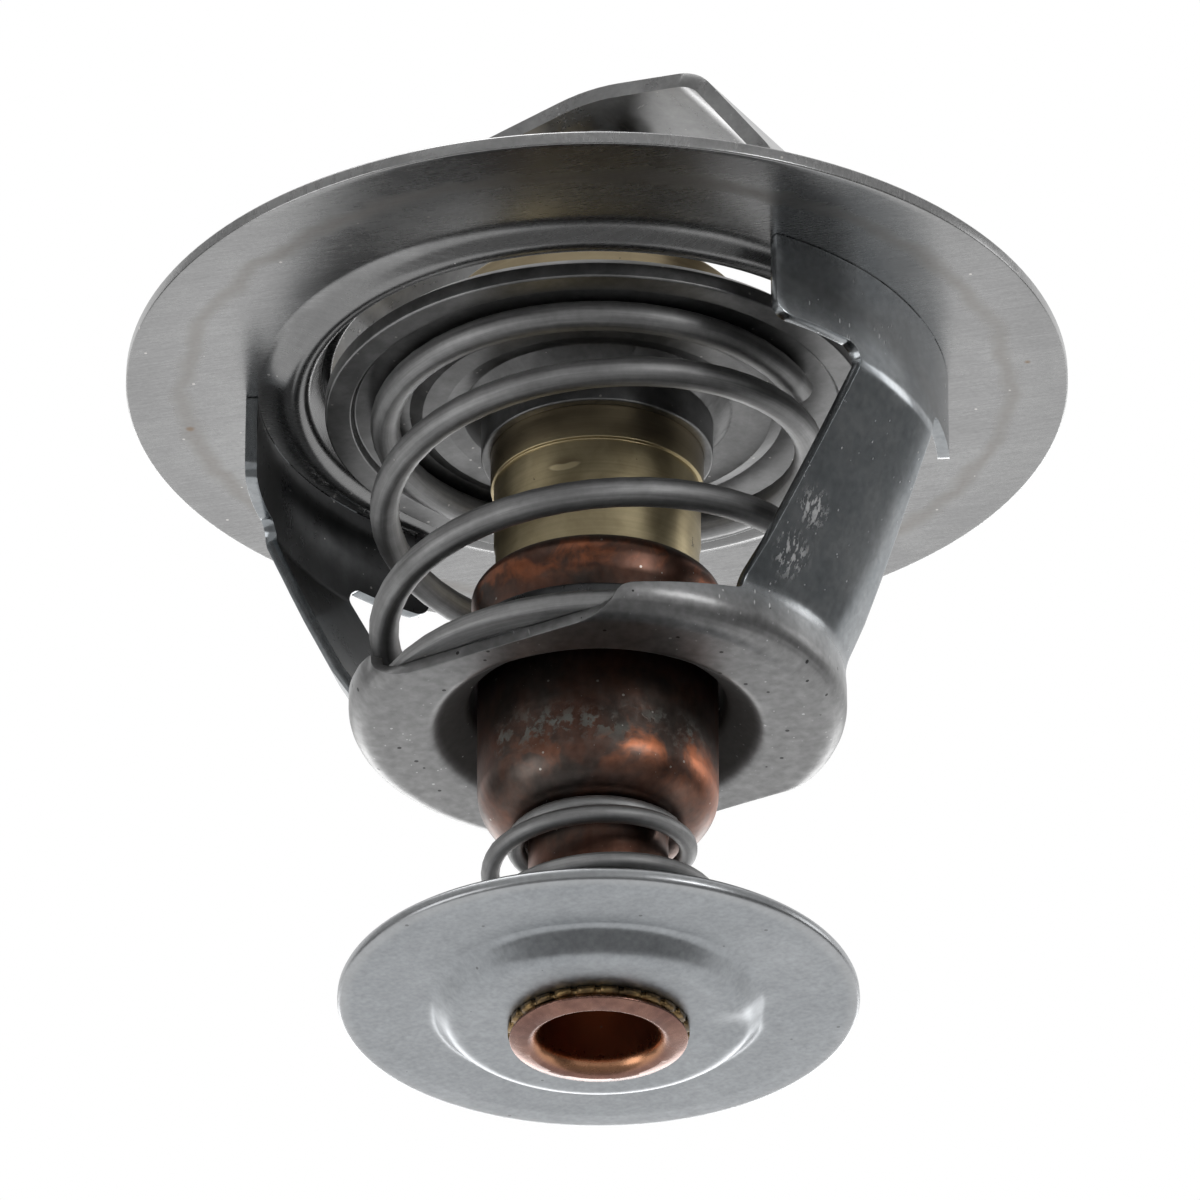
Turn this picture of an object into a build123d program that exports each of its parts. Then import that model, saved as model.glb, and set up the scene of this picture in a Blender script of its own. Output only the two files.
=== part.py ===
"""Engine thermostat: a wax element that opens a main valve and closes a bypass.

All sizes are in millimetres. The origin is on the valve's axis, at the underside of
the flange's rim. +Z points out of the engine, through the bridge, and the legs of
the bridge and of the cage lie along X. The valve stands a little open, as it does
when the coolant is warm.
"""

import os
from math import cos, degrees, radians, sin, sqrt

from build123d import *

# Fits and clearances
running_gap = 0.05
press_gap = 0.02
seat_gap = 0.05
slot_gap = 0.15
overrun = 2.0

# Flange: one pressing with a rim, a bead and a valve seat turned inwards
flange_diameter = 67.0
flange_sheet = 1.0
bead_slope_width = 2.2
bead_width = 1.4
bead_depth = 1.2
neck_lean = 1.5
seat_rise = 1.2
seat_lip = 1.2
seat_overlap = 0.5
rim_bend_radius = 2.0
bead_bend_radius = 1.0
seat_bend_radius = 0.8

# Valve disc
valve_land = 2.1
valve_bevel_width = 1.2
valve_top = 0.0
valve_bevel_drop = 1.0
valve_rim_height = 1.1
valve_seat_recess = 1.65
valve_seat_outer_margin = 1.1
valve_seat_inner_margin = 0.7
valve_ridge_outer_share = 0.82
valve_ridge_inner_share = 0.51
valve_web_share = 0.27
valve_ridge_height = 0.3
valve_web_depth = 1.7
collar_wall = 0.65
collar_root_drop = 2.9
collar_length = 5.5
valve_fillet = 0.3

# Guide: a turned brass body that carries the valve disc and closes the wax cup
guide_head_radius = 10.7
guide_head_height = 6.9
guide_head_chamfer = 0.7
guide_neck_radius = 6.2
guide_neck_height = 1.8
guide_shank_radius = 7.55
guide_shank_length = 8.1
guide_waist_radius = 7.32
guide_waist_length = 4.6
guide_throat_radius = 7.2
guide_throat_taper = 0.4
guide_foot_height = 2.6
guide_foot_chamfer = 0.5

# Piston and the parts that seal it
piston_radius = 2.5
piston_tip_chamfer = 0.6
boot_wall = 1.3
boot_flange_height = 1.5
boot_spare_depth = 2.0
wax_floor = 0.6
wiper_height = 0.8
wiper_radius = 4.6

# Copper cup and its hollow stem
cup_radius = 8.45
cup_wall = 1.2
cup_mouth_wall = 0.55
cup_bottom = -36.1
cup_corner_radius = 3.4
crimp_radius = 8.9
crimp_top = -16.4
crimp_bulge_drop = 1.2
crimp_height = 3.0
stem_radius = 4.9
stem_bore_radius = 4.1
stem_bore_depth = 9.0
flare_radius = 6.2
flare_height = 0.8
flare_lip = 0.4
flare_mouth_radius = 5.0

# Main spring
main_wire = 2.1
main_mean_radius = 15.05
main_active_turns = 2.36
main_top_turns = 0.72
main_bottom_turns = 0.30
main_tip_azimuth = 11.7

# Cage: one folded sheet with two legs and a ring
cage_sheet = 0.85
cage_wall_inset = 0.15
cage_wall_half_angle = 29.3
cage_wall_height = 6.4
cage_wall_fillet = 1.2
cage_bend_drop = 7.8
cage_bend_radius = 2.0
strap_top_half_width = 4.9
strap_foot_half_width = 7.1
strap_top_fillet = 1.2
strap_foot_fillet = 0.6
ankle_reach = 1.1
ankle_height = 7.0
ankle_bend_radius = 3.0
ring_bottom = -27.8
ring_wall_margin = 0.55
ring_wall_height = 4.3
ring_bend_radius = 1.5
ring_half_width = 14.0
ring_rim_height = 3.4
ring_rim_end_height = 2.05
ring_neck_margin = 0.3
ring_neck_height = 6.0
ring_neck_bend = 2.4
ring_corner_fillet = 0.8

# Clinched tabs that hold the bridge and the cage to the flange
tab_width = 3.0
tab_angle = 10.0
tab_fold_length = 2.6
tab_bend_radius = 0.6

# Bridge: one folded strap with a nest for the piston
bridge_sheet = 1.1
bridge_half_width = 6.5
bridge_left_shoulder = -11.2
bridge_left_height = 18.3
bridge_crest = 3.2
bridge_crest_height = 21.0
bridge_right_shoulder = 11.9
bridge_right_height = 19.6
bridge_leg_lean = 3.7
bridge_knee_height = 11.6
bridge_foot_inset = 3.65
bridge_foot_reach = 3.05
bridge_shoulder_bend = 3.2
bridge_crest_bend = 14.0
bridge_knee_bend = 8.0
bridge_foot_bend = 1.4
bridge_corner = 2.0
nest_radius = 3.8
nest_height = 1.3
nest_fillet = 0.6
nest_cover = 1.0

# Bypass disc and its spring
bypass_radius = 18.15
bypass_sheet = 1.0
bypass_face = -49.6
bypass_boss_depth = 1.7
bypass_boss_outer_radius = 11.5
bypass_boss_inner_radius = 9.9
bypass_outer_bend = 1.6
bypass_boss_bend = 1.4
bypass_edge_fillet = 0.45
lock_ring_sheet = 0.4
lock_ring_radius = 6.3
lock_ring_teeth = 24
lock_ring_tooth_radius = 0.22
bypass_wire = 1.3
bypass_spring_top_radius = 5.8
bypass_spring_shoulder_radius = 7.5
bypass_spring_bottom_radius = 8.6
bypass_shoulder_drop = 2.0
bypass_top_turns = 0.75
bypass_shoulder_turns = 0.6
bypass_active_turns = 2.4
bypass_bottom_turns = 0.75
coil_step_angle = 30

# Sizes that follow from the ones above, outwards from the main spring
main_outer_radius = main_mean_radius + main_wire / 2
main_inner_radius = main_mean_radius - main_wire / 2
valve_seat_outer_radius = main_outer_radius + valve_seat_outer_margin
valve_seat_inner_radius = main_inner_radius - valve_seat_inner_margin
valve_radius = valve_seat_outer_radius + valve_land
valve_bevel_radius = valve_radius - valve_bevel_width
collar_bore = guide_shank_radius + press_gap
collar_radius = collar_bore + collar_wall
valve_web_span = valve_seat_inner_radius - collar_radius
valve_ridge_outer_radius = collar_radius + valve_ridge_outer_share * valve_web_span
valve_ridge_inner_radius = collar_radius + valve_ridge_inner_share * valve_web_span
valve_web_radius = collar_radius + valve_web_share * valve_web_span
seat_hole_radius = valve_radius - seat_overlap
neck_radius = seat_hole_radius + seat_lip
bead_inner_radius = neck_radius + neck_lean
bead_outer_radius = bead_inner_radius + bead_width
rim_inner_radius = bead_outer_radius + bead_slope_width
flange_radius = flange_diameter / 2
cage_wall_radius = rim_inner_radius - cage_wall_inset
ring_wall_radius = main_outer_radius + ring_wall_margin + cage_sheet
ankle_radius = ring_wall_radius + ankle_reach
ring_neck_radius = crimp_radius + ring_neck_margin
bridge_foot_start = cage_wall_radius - bridge_foot_inset
bridge_foot_end = cage_wall_radius + bridge_foot_reach
bridge_knee = bridge_foot_start - bridge_leg_lean
flange_mid = flange_sheet / 2
bead_mid = flange_mid - bead_depth
seat_mid = flange_mid + seat_rise
cone_slope = (flange_mid - bead_mid) / (rim_inner_radius - bead_outer_radius)
cone_underside_drop = flange_mid * sqrt(1 + cone_slope**2)
valve_bevel_bottom = valve_top - valve_bevel_drop
valve_bottom = valve_bevel_bottom - valve_rim_height
valve_seat_z = valve_top - valve_seat_recess
collar_bottom = valve_top - collar_length
piston_bore_radius = piston_radius + running_gap
guide_shank_bottom = valve_top - guide_shank_length
guide_waist_bottom = guide_shank_bottom - guide_waist_length
cup_mouth_radius = cup_radius - cup_mouth_wall
cup_inner_radius = cup_radius - cup_wall
cup_floor = cup_bottom + cup_wall
guide_foot_radius = cup_mouth_radius - press_gap
guide_foot_top = crimp_top - cup_mouth_wall - seat_gap
guide_bottom = guide_foot_top - guide_foot_height
cup_shoulder = guide_bottom - boot_flange_height
boot_bore_radius = piston_radius + 2 * running_gap
boot_radius = boot_bore_radius + boot_wall
boot_bottom = cup_floor + wax_floor
boot_bore_end = boot_bottom + boot_wall
piston_end = boot_bore_end + boot_spare_depth
ring_mid = ring_bottom + cage_sheet / 2
ring_top = ring_bottom + cage_sheet
cage_wall_mid_radius = cage_wall_radius - cage_sheet / 2
ring_wall_mid_radius = ring_wall_radius - cage_sheet / 2
wall_reach = cage_wall_radius + tab_fold_length + overrun
main_spring_top = valve_seat_z - seat_gap - main_wire / 2
main_spring_bottom = ring_top + seat_gap + main_wire / 2
bypass_mid = bypass_face + bypass_sheet / 2
boss_mid = bypass_mid - bypass_boss_depth
bypass_bore_radius = stem_radius + running_gap
boss_underside = boss_mid - bypass_sheet / 2
boss_topside = boss_mid + bypass_sheet / 2
lock_ring_bottom = boss_underside - seat_gap - lock_ring_sheet
flare_top = lock_ring_bottom - seat_gap
stem_bottom = flare_top - flare_height
bypass_spring_top = cup_bottom - seat_gap - bypass_wire / 2
bypass_spring_bottom = boss_topside + seat_gap + bypass_wire / 2
foot_mid = flange_sheet + bridge_sheet / 2
foot_top = flange_sheet + bridge_sheet
tab_fold_mid = foot_top + seat_gap + cage_sheet / 2
tab_arc = degrees(tab_width / cage_wall_mid_radius)
tab_azimuths = [side + sign * tab_angle for side in (0, 180) for sign in (-1, 1)]

os.makedirs("parts", exist_ok=True)


def radial_plane(azimuth):
    """The plane through the Z axis that looks along the given azimuth."""
    along = (cos(radians(azimuth)), sin(radians(azimuth)), 0)
    across = (sin(radians(azimuth)), -cos(radians(azimuth)), 0)
    return Plane(origin=(0, 0, 0), x_dir=along, z_dir=across)


def bead_underside(radius):
    """Height of the underside of the flange on the slope from its rim down to its bead."""
    return flange_mid - (rim_inner_radius - radius) * cone_slope - cone_underside_drop


def coil_points(stages, start_angle):
    """Points along a coil, from stages of (turns, radius and height at its end)."""
    radius, height = stages[0][1:]
    angle = start_angle
    points = []
    for turns, next_radius, next_height in stages[1:]:
        count = max(2, round(turns * 360 / coil_step_angle))
        for index in range(count):
            share = index / count
            here = radians(angle + share * turns * 360)
            ring = radius + share * (next_radius - radius)
            points.append((ring * cos(here), ring * sin(here), height + share * (next_height - height)))
        angle += turns * 360
        radius, height = next_radius, next_height
    points.append((radius * cos(radians(angle)), radius * sin(radians(angle)), height))
    return points


# The flange is a revolved sheet section with four slots for the cage's tabs
with BuildPart() as flange:
    with BuildSketch(Plane.XZ):
        with BuildLine() as flange_line:
            FilletPolyline(
                (flange_radius, flange_mid),
                (rim_inner_radius, flange_mid),
                (bead_outer_radius, bead_mid),
                (bead_inner_radius, bead_mid),
                (neck_radius, seat_mid),
                (seat_hole_radius, seat_mid),
                radius=[rim_bend_radius, bead_bend_radius, bead_bend_radius, seat_bend_radius],
            )
        trace(flange_line.line, line_width=flange_sheet)
    revolve(axis=Axis.Z)
    for azimuth in tab_azimuths:
        with BuildSketch(Plane.XY.offset(-bead_depth)):
            with Locations(Rotation(0, 0, azimuth) * Pos(cage_wall_mid_radius, 0)):
                Rectangle(cage_sheet + 2 * slot_gap, tab_width + 2 * slot_gap)
        extrude(amount=bead_depth + overrun, mode=Mode.SUBTRACT)
flange.part.label = "flange"

# The cage is the sheet section of its ring and legs, trimmed to its side outline
with BuildPart() as cage:
    with BuildSketch(Plane.XZ):
        with BuildLine() as cage_line:
            FilletPolyline(
                (ring_neck_radius + cage_sheet / 2, ring_bottom + ring_neck_height),
                (ring_neck_radius + cage_sheet / 2, ring_mid),
                (ring_wall_mid_radius, ring_mid),
                (ring_wall_mid_radius, ring_bottom + ring_wall_height),
                (ankle_radius, ring_bottom + ankle_height),
                (cage_wall_mid_radius, -cage_bend_drop),
                (cage_wall_mid_radius, tab_fold_mid),
                (cage_wall_mid_radius + tab_fold_length, tab_fold_mid),
                radius=[
                    ring_neck_bend, ring_bend_radius, ankle_bend_radius, ankle_bend_radius,
                    cage_bend_radius, tab_bend_radius,
                ],
            )
        trace(cage_line.line, line_width=cage_sheet)
    revolve(axis=Axis.Z)
    strap_top = ring_bottom + ring_rim_height
    with BuildSketch(Plane.YZ):
        with BuildLine():
            FilletPolyline(
                (ring_half_width, ring_bottom - overrun),
                (ring_half_width, ring_bottom + ring_rim_end_height),
                (strap_foot_half_width, strap_top),
                (strap_top_half_width, -cage_wall_height),
                (wall_reach, -cage_wall_height),
                (wall_reach, tab_fold_mid + overrun),
                (-wall_reach, tab_fold_mid + overrun),
                (-wall_reach, -cage_wall_height),
                (-strap_top_half_width, -cage_wall_height),
                (-strap_foot_half_width, strap_top),
                (-ring_half_width, ring_bottom + ring_rim_end_height),
                (-ring_half_width, ring_bottom - overrun),
                radius=[
                    ring_corner_fillet, strap_foot_fillet, strap_top_fillet, 0, 0,
                    0, 0, strap_top_fillet, strap_foot_fillet, ring_corner_fillet,
                ],
            )
            Line((-ring_half_width, ring_bottom - overrun), (ring_half_width, ring_bottom - overrun))
        make_face()
    extrude(amount=wall_reach, both=True, mode=Mode.INTERSECT)
    # The walls end at planes through the axis, with their lower corners rounded
    for side in (0, 180):
        with BuildSketch(radial_plane(side + cage_wall_half_angle)):
            with Locations((cage_wall_radius, 0)):
                Rectangle(2 * tab_fold_length + 2 * overrun, 2 * cage_wall_height + 2 * overrun)
        revolve(axis=Axis.Z, revolution_arc=180 - 2 * cage_wall_half_angle, mode=Mode.SUBTRACT)
    wall_end = (cage_wall_radius - cage_sheet - seat_gap) * sin(radians(cage_wall_half_angle))
    wall_corners = cage.edges().filter_by(GeomType.LINE).filter_by(
        lambda edge: abs(edge.center().Z + cage_wall_height) < seat_gap and abs(edge.center().Y) > wall_end
    )
    fillet(wall_corners, radius=cage_wall_fillet)
    # Between the tabs the walls stop at the slope of the bead that they stand against
    cut_inner = cage_wall_radius - 2 * cage_sheet
    cut_outer = cage_wall_radius + cage_sheet
    for azimuth, next_azimuth in zip(tab_azimuths, tab_azimuths[1:] + [tab_azimuths[0] + 360]):
        with BuildSketch(radial_plane(azimuth + tab_arc / 2)):
            with BuildLine():
                Polyline(
                    (cut_inner, bead_underside(cut_inner) - seat_gap),
                    (cut_outer, bead_underside(cut_outer) - seat_gap),
                    (cut_outer + tab_fold_length + overrun, bead_underside(cut_outer) - seat_gap),
                    (cut_outer + tab_fold_length + overrun, tab_fold_mid + overrun),
                    (cut_inner, tab_fold_mid + overrun),
                    close=True,
                )
            make_face()
        revolve(axis=Axis.Z, revolution_arc=next_azimuth - azimuth - tab_arc, mode=Mode.SUBTRACT)
cage.part.label = "cage"

# The bridge is a folded strap, with slots for the tabs and a nest for the piston
with BuildPart() as bridge:
    with BuildSketch(Plane.XZ):
        half = bridge_sheet / 2
        with BuildLine() as bridge_line:
            FilletPolyline(
                (-bridge_foot_end, foot_mid),
                (-bridge_foot_start, foot_mid),
                (-bridge_knee, bridge_knee_height - half),
                (bridge_left_shoulder, bridge_left_height - half),
                (bridge_crest, bridge_crest_height - half),
                (bridge_right_shoulder, bridge_right_height - half),
                (bridge_knee, bridge_knee_height - half),
                (bridge_foot_start, foot_mid),
                (bridge_foot_end, foot_mid),
                radius=[
                    bridge_foot_bend, bridge_knee_bend, bridge_shoulder_bend, bridge_crest_bend,
                    bridge_shoulder_bend, bridge_knee_bend, bridge_foot_bend,
                ],
            )
        trace(bridge_line.line, line_width=bridge_sheet)
    extrude(amount=bridge_half_width, both=True)
    fillet(
        bridge.edges().filter_by(Axis.Z).group_by(Axis.X)[0]
        + bridge.edges().filter_by(Axis.Z).group_by(Axis.X)[-1],
        radius=bridge_corner,
    )
    nest_top = bridge_crest_height - nest_cover + nest_height
    with BuildSketch(Plane.XY.offset(bridge_left_height)):
        Circle(nest_radius)
    extrude(amount=nest_top - bridge_left_height)
    fillet(bridge.edges().filter_by(GeomType.CIRCLE).sort_by(Axis.Z)[-1], radius=nest_fillet)
    with BuildSketch(Plane.XY.offset(bridge_knee_height)):
        Circle(piston_bore_radius)
    extrude(amount=nest_top - nest_cover - bridge_knee_height, mode=Mode.SUBTRACT)
    for azimuth in tab_azimuths:
        with BuildSketch(Plane.XY):
            with Locations(Rotation(0, 0, azimuth) * Pos(cage_wall_mid_radius, 0)):
                Rectangle(cage_sheet + 2 * slot_gap, tab_width + 2 * slot_gap)
        extrude(amount=foot_top + overrun, mode=Mode.SUBTRACT)
bridge.part.label = "bridge"

# The valve disc is turned down into a thin collar around the guide
with BuildPart() as valve_disc:
    with BuildSketch(Plane.XZ):
        with BuildLine():
            FilletPolyline(
                (collar_bore, valve_top),
                (valve_bevel_radius, valve_top),
                (valve_radius, valve_bevel_bottom),
                (valve_radius, valve_bottom),
                (valve_seat_outer_radius + valve_ridge_height, valve_bottom),
                (valve_seat_outer_radius, valve_seat_z),
                (valve_seat_inner_radius, valve_seat_z),
                (valve_ridge_outer_radius, valve_seat_z - valve_ridge_height),
                (valve_ridge_inner_radius, valve_seat_z - valve_ridge_height),
                (valve_web_radius, valve_top - valve_web_depth),
                (collar_radius, valve_top - collar_root_drop),
                (collar_radius, collar_bottom),
                (collar_bore, collar_bottom),
                radius=valve_fillet / 2,
                close=False,
            )
            Line((collar_bore, collar_bottom), (collar_bore, valve_top))
        make_face()
    revolve(axis=Axis.Z)
valve_disc.part.label = "valve_disc"

# The guide is turned from bar, and its foot is crimped into the copper cup
with BuildPart() as guide:
    guide_top = valve_top + guide_head_height
    with BuildSketch(Plane.XZ):
        with BuildLine():
            Polyline(
                (piston_bore_radius, guide_top + guide_neck_height),
                (guide_neck_radius, guide_top + guide_neck_height),
                (guide_neck_radius, guide_top),
                (guide_head_radius - guide_head_chamfer, guide_top),
                (guide_head_radius, guide_top - guide_head_chamfer),
                (guide_head_radius, valve_top + seat_gap),
                (guide_shank_radius, valve_top + seat_gap),
                (guide_shank_radius, guide_shank_bottom),
                (guide_waist_radius, guide_shank_bottom),
                (guide_waist_radius, guide_waist_bottom),
                (guide_throat_radius, guide_waist_bottom - guide_throat_taper),
                (guide_throat_radius, guide_foot_top),
                (guide_foot_radius - guide_foot_chamfer, guide_foot_top),
                (guide_foot_radius, guide_foot_top - guide_foot_chamfer),
                (guide_foot_radius, guide_bottom),
                (wiper_radius, guide_bottom),
                (wiper_radius, guide_bottom + wiper_height),
                (piston_bore_radius, guide_bottom + wiper_height),
                close=True,
            )
        make_face()
    revolve(axis=Axis.Z)
guide.part.label = "guide"

# The piston stands in the bridge's nest, and the element slides along it
with BuildPart() as piston:
    piston_top = nest_top - nest_cover - seat_gap
    with BuildSketch(Plane.XY.offset(piston_end)):
        Circle(piston_radius)
    extrude(amount=piston_top - piston_end)
    chamfer(piston.edges().filter_by(GeomType.CIRCLE), length=piston_tip_chamfer)
piston.part.label = "piston"

# The wiper keeps the boot's mouth from being drawn into the guide
with BuildPart() as wiper_washer:
    with BuildSketch(Plane.XY.offset(guide_bottom)):
        Circle(wiper_radius - press_gap)
        Circle(piston_bore_radius, mode=Mode.SUBTRACT)
    extrude(amount=wiper_height - seat_gap)
wiper_washer.part.label = "wiper_washer"

# The rubber boot is a closed sleeve that the wax squeezes against the piston
with BuildPart() as boot:
    with BuildSketch(Plane.XZ):
        with BuildLine():
            Polyline(
                (boot_bore_radius, guide_bottom - seat_gap),
                (cup_mouth_radius - press_gap, guide_bottom - seat_gap),
                (cup_mouth_radius - press_gap, cup_shoulder),
                (boot_radius, cup_shoulder),
                (boot_radius, boot_bore_end),
                (boot_radius - boot_wall, boot_bottom),
                (0, boot_bottom),
                (0, boot_bore_end),
                (boot_bore_radius, boot_bore_end),
                close=True,
            )
        make_face()
    revolve(axis=Axis.Z)
boot.part.label = "boot"

# The wax fills the cup around the boot
with BuildPart() as wax_charge:
    wax_radius = cup_inner_radius - press_gap
    wax_bore = boot_radius + press_gap
    wax_top = cup_shoulder - seat_gap
    wax_bottom = cup_floor + press_gap
    with BuildSketch(Plane.XZ):
        with BuildLine():
            Polyline(
                (wax_bore, wax_top),
                (wax_radius, wax_top),
                (wax_radius, wax_bottom + cup_corner_radius - cup_wall),
                (wax_radius - cup_corner_radius + cup_wall, wax_bottom),
                (0, wax_bottom),
                (0, boot_bottom - press_gap),
                (wax_bore, boot_bottom - press_gap),
                close=True,
            )
        make_face()
    revolve(axis=Axis.Z)
wax_charge.part.label = "wax_charge"

# The copper cup is drawn, crimped over the guide's foot, and ends in a hollow stem
with BuildPart() as wax_cup:
    mouth = cup_mouth_radius
    bulge = crimp_top - crimp_bulge_drop
    with BuildSketch(Plane.XZ):
        with BuildLine():
            Line((0, cup_floor), (cup_inner_radius - cup_corner_radius + cup_wall, cup_floor))
            RadiusArc(
                (cup_inner_radius - cup_corner_radius + cup_wall, cup_floor),
                (cup_inner_radius, cup_floor + cup_corner_radius - cup_wall),
                -(cup_corner_radius - cup_wall),
            )
            Polyline(
                (cup_inner_radius, cup_floor + cup_corner_radius - cup_wall),
                (cup_inner_radius, cup_shoulder),
                (mouth, cup_shoulder),
                (mouth, guide_foot_top + seat_gap - guide_foot_chamfer),
                (mouth - guide_foot_chamfer, guide_foot_top + seat_gap),
                (guide_throat_radius + press_gap, guide_foot_top + seat_gap),
                (guide_throat_radius + press_gap, crimp_top),
            )
            ThreePointArc(
                (guide_throat_radius + press_gap, crimp_top),
                (crimp_radius - crimp_bulge_drop / 4, crimp_top - crimp_bulge_drop / 3),
                (crimp_radius, bulge),
            )
            Polyline(
                (crimp_radius, bulge),
                (cup_radius, crimp_top - crimp_height),
                (cup_radius, cup_bottom + cup_corner_radius),
            )
            RadiusArc(
                (cup_radius, cup_bottom + cup_corner_radius),
                (cup_radius - cup_corner_radius, cup_bottom),
                cup_corner_radius,
            )
            Polyline(
                (cup_radius - cup_corner_radius, cup_bottom),
                (stem_radius, cup_bottom),
                (stem_radius, flare_top),
                (flare_radius - flare_lip, flare_top),
            )
            RadiusArc(
                (flare_radius - flare_lip, flare_top),
                (flare_radius, flare_top - flare_lip),
                flare_lip,
            )
            Line((flare_radius, flare_top - flare_lip), (flare_mouth_radius, stem_bottom))
            ThreePointArc(
                (flare_mouth_radius, stem_bottom),
                (stem_bore_radius + (flare_mouth_radius - stem_bore_radius) / 3, stem_bottom + flare_lip),
                (stem_bore_radius, flare_top + flare_lip),
            )
            Polyline(
                (stem_bore_radius, flare_top + flare_lip),
                (stem_bore_radius, stem_bottom + stem_bore_depth),
                (0, stem_bottom + stem_bore_depth + stem_bore_radius / 2),
                (0, cup_floor),
            )
        make_face()
    revolve(axis=Axis.Z)
wax_cup.part.label = "wax_cup"

# The main spring stands on the cage's ring and pushes the valve disc shut
with BuildPart() as main_spring:
    main_stages = [
        (0, main_mean_radius, main_spring_top),
        (main_top_turns, main_mean_radius, main_spring_top),
        (main_active_turns, main_mean_radius, main_spring_bottom),
        (main_bottom_turns, main_mean_radius, main_spring_bottom),
    ]
    main_turns = main_top_turns + main_active_turns + main_bottom_turns
    with BuildLine() as main_line:
        Spline(*[(x, -y, z) for x, y, z in coil_points(main_stages, -main_tip_azimuth)])
    with BuildSketch(Plane(origin=main_line.line @ 0, z_dir=main_line.line % 0)):
        Circle(main_wire / 2)
    sweep(path=main_line.line, is_frenet=True)
main_spring.part.label = "main_spring"

# The bypass spring is a cone that stands in the bypass disc's boss
with BuildPart() as bypass_spring:
    shoulder_height = bypass_spring_top - bypass_shoulder_drop
    bypass_stages = [
        (0, bypass_spring_top_radius, bypass_spring_top),
        (bypass_top_turns, bypass_spring_top_radius, bypass_spring_top),
        (bypass_shoulder_turns, bypass_spring_shoulder_radius, shoulder_height),
        (bypass_active_turns, bypass_spring_bottom_radius, bypass_spring_bottom),
        (bypass_bottom_turns, bypass_spring_bottom_radius, bypass_spring_bottom),
    ]
    with BuildLine() as bypass_line:
        Spline(*[(x, -y, z) for x, y, z in coil_points(bypass_stages, 0)])
    with BuildSketch(Plane(origin=bypass_line.line @ 0, z_dir=bypass_line.line % 0)):
        Circle(bypass_wire / 2)
    sweep(path=bypass_line.line, is_frenet=True)
bypass_spring.part.label = "bypass_spring"

# The bypass disc is a pressed dish that slides on the stem
with BuildPart() as bypass_disc:
    with BuildSketch(Plane.XZ):
        with BuildLine() as bypass_disc_line:
            FilletPolyline(
                (bypass_radius, bypass_mid),
                (bypass_boss_outer_radius, bypass_mid),
                (bypass_boss_inner_radius, boss_mid),
                (bypass_bore_radius, boss_mid),
                radius=[bypass_outer_bend, bypass_boss_bend],
            )
        trace(bypass_disc_line.line, line_width=bypass_sheet)
    revolve(axis=Axis.Z)
    rim_edges = bypass_disc.edges().filter_by(GeomType.CIRCLE).sort_by(SortBy.RADIUS)[-2:]
    fillet(rim_edges, radius=bypass_edge_fillet)
bypass_disc.part.label = "bypass_disc"

# The lock ring is a thin toothed washer under the stem's flare
with BuildPart() as lock_ring:
    with BuildSketch(Plane.XY.offset(lock_ring_bottom)):
        Circle(lock_ring_radius)
        Circle(bypass_bore_radius, mode=Mode.SUBTRACT)
        with PolarLocations(lock_ring_radius, lock_ring_teeth):
            Circle(lock_ring_tooth_radius, mode=Mode.SUBTRACT)
    extrude(amount=lock_ring_sheet)
lock_ring.part.label = "lock_ring"

pieces = [
    flange, cage, bridge, valve_disc, guide, piston, wiper_washer, boot, wax_charge, wax_cup,
    main_spring, bypass_spring, bypass_disc, lock_ring,
]
for piece in pieces:
    export_step(piece.part, f"parts/{piece.part.label}.step")
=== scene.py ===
# %% [markdown]
# # An engine thermostat, dressed for its portrait
# The thermostat is a small wax motor in a steel frame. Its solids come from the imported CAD
# model, and this lesson gives them the surfaces of the real one: drawn wire, rolled sheet,
# turned brass and tarnished copper. It is lit by soft studio light.

# %% Load the frame
from math import asin, atan2, cos, degrees, radians, sin, sqrt, tan

import bmesh
import bpy
from mathutils import Matrix, Vector, noise


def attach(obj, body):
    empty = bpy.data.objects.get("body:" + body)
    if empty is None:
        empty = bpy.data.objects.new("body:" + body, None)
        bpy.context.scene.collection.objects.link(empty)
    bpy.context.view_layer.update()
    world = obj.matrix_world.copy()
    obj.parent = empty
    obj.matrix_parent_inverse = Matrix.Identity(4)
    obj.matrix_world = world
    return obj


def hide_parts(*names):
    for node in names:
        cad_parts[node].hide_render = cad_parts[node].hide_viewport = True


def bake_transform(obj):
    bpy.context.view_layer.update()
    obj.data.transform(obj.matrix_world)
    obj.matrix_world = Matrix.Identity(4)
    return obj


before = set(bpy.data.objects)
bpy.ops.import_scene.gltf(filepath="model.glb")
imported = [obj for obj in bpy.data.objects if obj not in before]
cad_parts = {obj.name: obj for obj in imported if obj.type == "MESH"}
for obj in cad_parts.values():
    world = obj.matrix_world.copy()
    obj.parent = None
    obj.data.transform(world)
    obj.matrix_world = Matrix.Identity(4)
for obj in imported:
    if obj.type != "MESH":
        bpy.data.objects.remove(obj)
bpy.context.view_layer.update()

mm = 0.001
up = Vector((0, 0, 1))

# %% [markdown]
# ## Helpers for shader nodes
# A material is a small tree of nodes. One helper adds a node and fills its sockets, with
# plain values or with links. The others cover the joints used most: arithmetic on masks,
# a mask that goes from one colour to another, and a soft step.

# %% Node helpers
def put(tree, kind, sockets=None, **settings):
    node = tree.nodes.new("ShaderNode" + kind)
    for name, value in settings.items():
        setattr(node, name, value)
    for name, value in (sockets or {}).items():
        if isinstance(value, bpy.types.NodeSocket):
            tree.links.new(value, node.inputs[name])
        else:
            node.inputs[name].default_value = value
    return node


def maths(tree, operation, first, second=0.0, third=0.0):
    sockets = {0: first, 1: second, 2: third}
    return put(tree, "Math", sockets, operation=operation).outputs[0]


def times(tree, first, second):
    return maths(tree, "MULTIPLY", first, second)


def larger(tree, first, second):
    return maths(tree, "MAXIMUM", first, second)


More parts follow.
